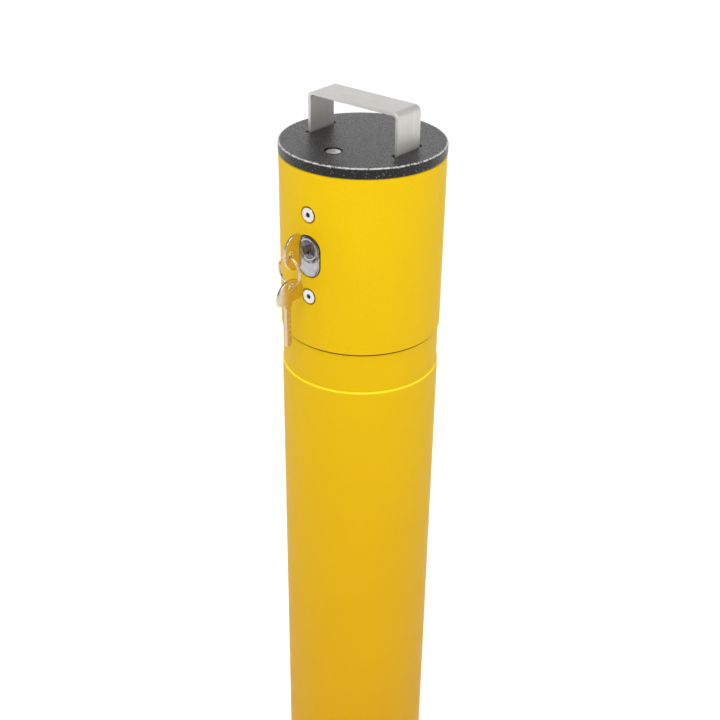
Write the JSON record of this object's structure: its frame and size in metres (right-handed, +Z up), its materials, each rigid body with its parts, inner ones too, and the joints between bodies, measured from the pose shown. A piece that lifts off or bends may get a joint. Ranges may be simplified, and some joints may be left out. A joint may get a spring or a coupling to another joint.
{
  "type": "removable safety bollard",
  "caption": "Round steel safety bollard with a key-locked twisting head, a drop-in lifting handle and a bolt-down base it lifts off.",
  "frame": {"origin": "centre of the base plate's underside, on the post's axis", "axes": "+Z up along the post, -Y towards the front where the key lock is, X along the lifting handle"},
  "size_m": [0.2, 0.2085, 0.9345],
  "materials": {
    "galvanised_steel": "hot-dip galvanised, dull grey spangle",
    "yellow_powder_coat": "semi-gloss traffic-yellow powder coat with fine orange peel",
    "black_powder_coat": "fine-textured black powder coat",
    "stainless_steel": "brushed stainless steel",
    "plain_steel": "zinc-plated machined steel",
    "bronze": "oiled sintered bronze",
    "nylon": "black nylon",
    "chrome": "satin and bright chrome plate",
    "nickel": "polished nickel plate"
  },
  "bodies": {
    "ground_base": {"base_plate": "galvanised_steel", "spigot_ring": "galvanised_steel", "lock_plate": "galvanised_steel", "lock_plate_ledge": "galvanised_steel", "anti_turn_key": "galvanised_steel"},
    "post": {"post_tube": "yellow_powder_coat", "neck_collar": "yellow_powder_coat", "index_plate": "plain_steel", "twist_stop_pin": "plain_steel", "thrust_washer": "nylon", "upper_bush": "bronze", "lower_bulkhead": "plain_steel", "lower_bush": "bronze"},
    "head": {"head_sleeve": "yellow_powder_coat", "top_cap": "black_powder_coat", "cap_screw": "stainless_steel", "cap_bracket": "plain_steel", "head_plate": "plain_steel", "shaft_hub": "plain_steel", "cam_shaft": "plain_steel", "hub_pin": "plain_steel", "retaining_collar": "plain_steel", "collar_grub_screw": "plain_steel", "lock_cam": "plain_steel", "cam_pin": "plain_steel", "lock_housing": "plain_steel", "lock_screws": "stainless_steel", "lock_cylinder": "chrome", "bolt_guide": "plain_steel", "bolt_guide_screws": "plain_steel", "handle_guides": "nylon", "handle_guide_screws": "plain_steel"},
    "lift_handle": {"handle_bar": "stainless_steel", "handle_stop_pins": "stainless_steel"},
    "plug_group": {"lock_plug": "chrome", "crank": "plain_steel", "crank_screw": "plain_steel"},
    "bolt_group": {"lock_bolt": "plain_steel"},
    "inserted_key": {"key": "nickel"},
    "key_ring": {"split_ring": "nickel"},
    "hanging_key": {"spare_key": "nickel"}
  },
  "joints": [
    {"name": "post_lift", "type": "slide", "parent": "ground_base", "child": "post", "axis": [0, 0, 1], "range_m": [0, 0.15]},
    {"name": "head_twist", "type": "hinge", "parent": "post", "child": "head", "pos_m": [0, 0, 0.734], "axis": [0, 0, 1], "range_deg": [0, 90]},
    {"name": "handle_drop", "type": "slide", "parent": "head", "child": "lift_handle", "axis": [0, 0, -1], "range_m": [0, 0.0305]},
    {"name": "plug_turn", "type": "hinge", "parent": "head", "child": "plug_group", "pos_m": [0, -0.05, 0.8242], "axis": [0, 1, 0], "range_deg": [0, 90]},
    {"name": "bolt_throw", "type": "slide", "parent": "head", "child": "bolt_group", "axis": [0, 0, -1], "range_m": [0, 0.012]},
    {"name": "key_pull", "type": "slide", "parent": "plug_group", "child": "inserted_key", "axis": [0, -1, 0], "range_m": [0, 0.034]},
    {"name": "ring_swing", "type": "hinge", "parent": "inserted_key", "child": "key_ring", "pos_m": [0, -0.093, 0.82535], "axis": [1, 0, 0], "range_deg": [-75, 5]},
    {"name": "spare_key_swing", "type": "hinge", "parent": "key_ring", "child": "hanging_key", "pos_m": [0, -0.093, 0.80055], "axis": [1, 0, 0], "range_deg": [-60, 5]}
  ],
  "couplings": [
    {"joint": "bolt_throw", "follows": "plug_turn", "m_per_rad": 0.0076394}
  ]
}
